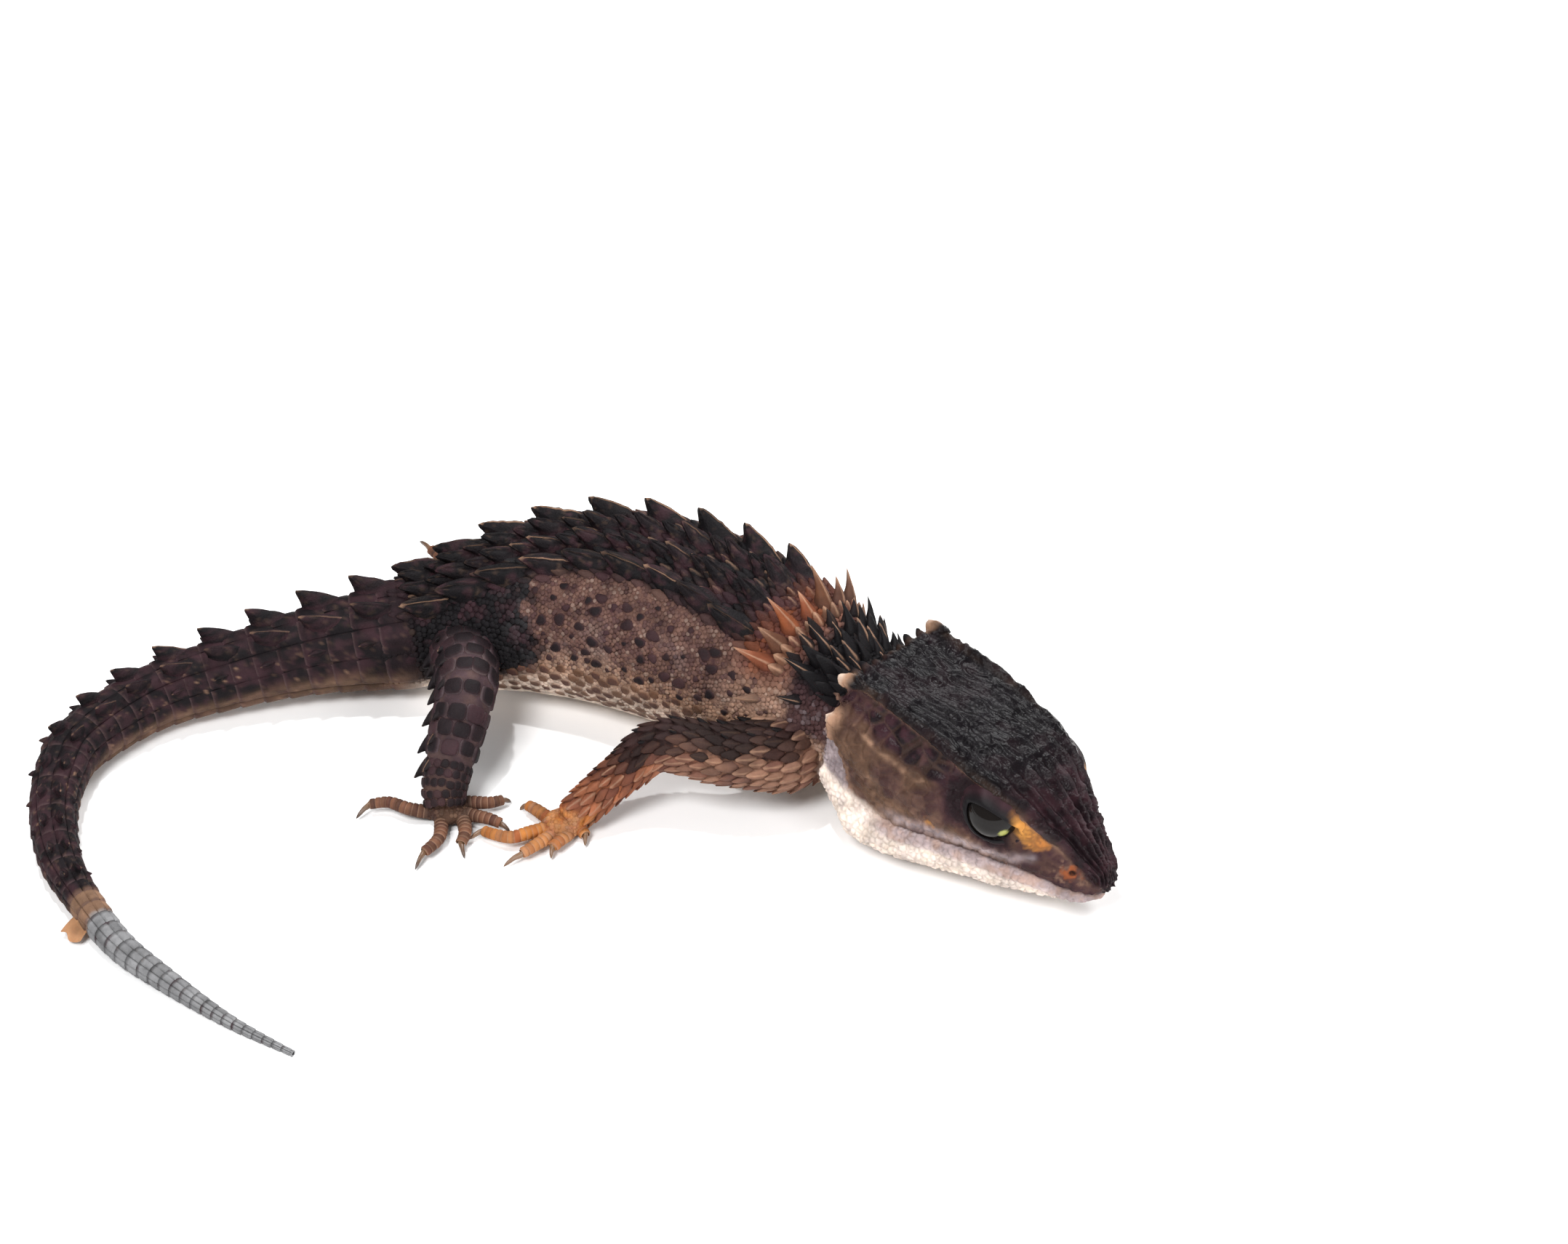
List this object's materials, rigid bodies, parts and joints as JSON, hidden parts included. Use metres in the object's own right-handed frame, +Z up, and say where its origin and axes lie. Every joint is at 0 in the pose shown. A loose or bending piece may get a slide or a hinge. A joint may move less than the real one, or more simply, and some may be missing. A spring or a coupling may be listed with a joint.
{
  "type": "museum model of a lizard",
  "caption": "Life-size still model of a spiny helmeted skink resting on its belly with its head turned, for a display case or a set.",
  "frame": {"origin": "on the floor, under the middle of the whole animal", "axes": "+Z up; +X towards the side where the head is; +Y away from the right flank"},
  "size_m": [0.098, 0.0717, 0.0189],
  "materials": {
    "charcoal_scales": "satin keeled scales, charcoal with plum",
    "grey_scales": "satin ringed scales, pale grey",
    "spotted_flank": "fine granular scales, taupe with dark tubercles",
    "helmet_scales": "rugose shields, charcoal, half gloss",
    "pale_jaw": "smooth scales, cream to tan",
    "rust_feet": "fine ringed scales, rust orange",
    "eye": "glossy black"
  },
  "bodies": {
    "root": {"tail_root": "charcoal_scales", "tail_upper": "charcoal_scales", "tail_middle": "charcoal_scales", "tail_lower": "charcoal_scales", "tail_tip": "grey_scales", "hips": "charcoal_scales", "belly": "spotted_flank", "chest": "spotted_flank", "neck": "charcoal_scales", "head": "helmet_scales", "jaw": "pale_jaw", "eye_left": "eye", "eye_right": "eye", "hind_right_upper": "charcoal_scales", "hind_right_lower": "charcoal_scales", "hind_right_foot": "rust_feet", "hind_left_upper": "charcoal_scales", "hind_left_lower": "charcoal_scales", "hind_left_foot": "rust_feet", "fore_right_upper": "charcoal_scales", "fore_right_lower": "charcoal_scales", "fore_right_foot": "rust_feet", "fore_left_upper": "charcoal_scales", "fore_left_lower": "charcoal_scales", "fore_left_foot": "rust_feet"}
  },
  "joints": []
}
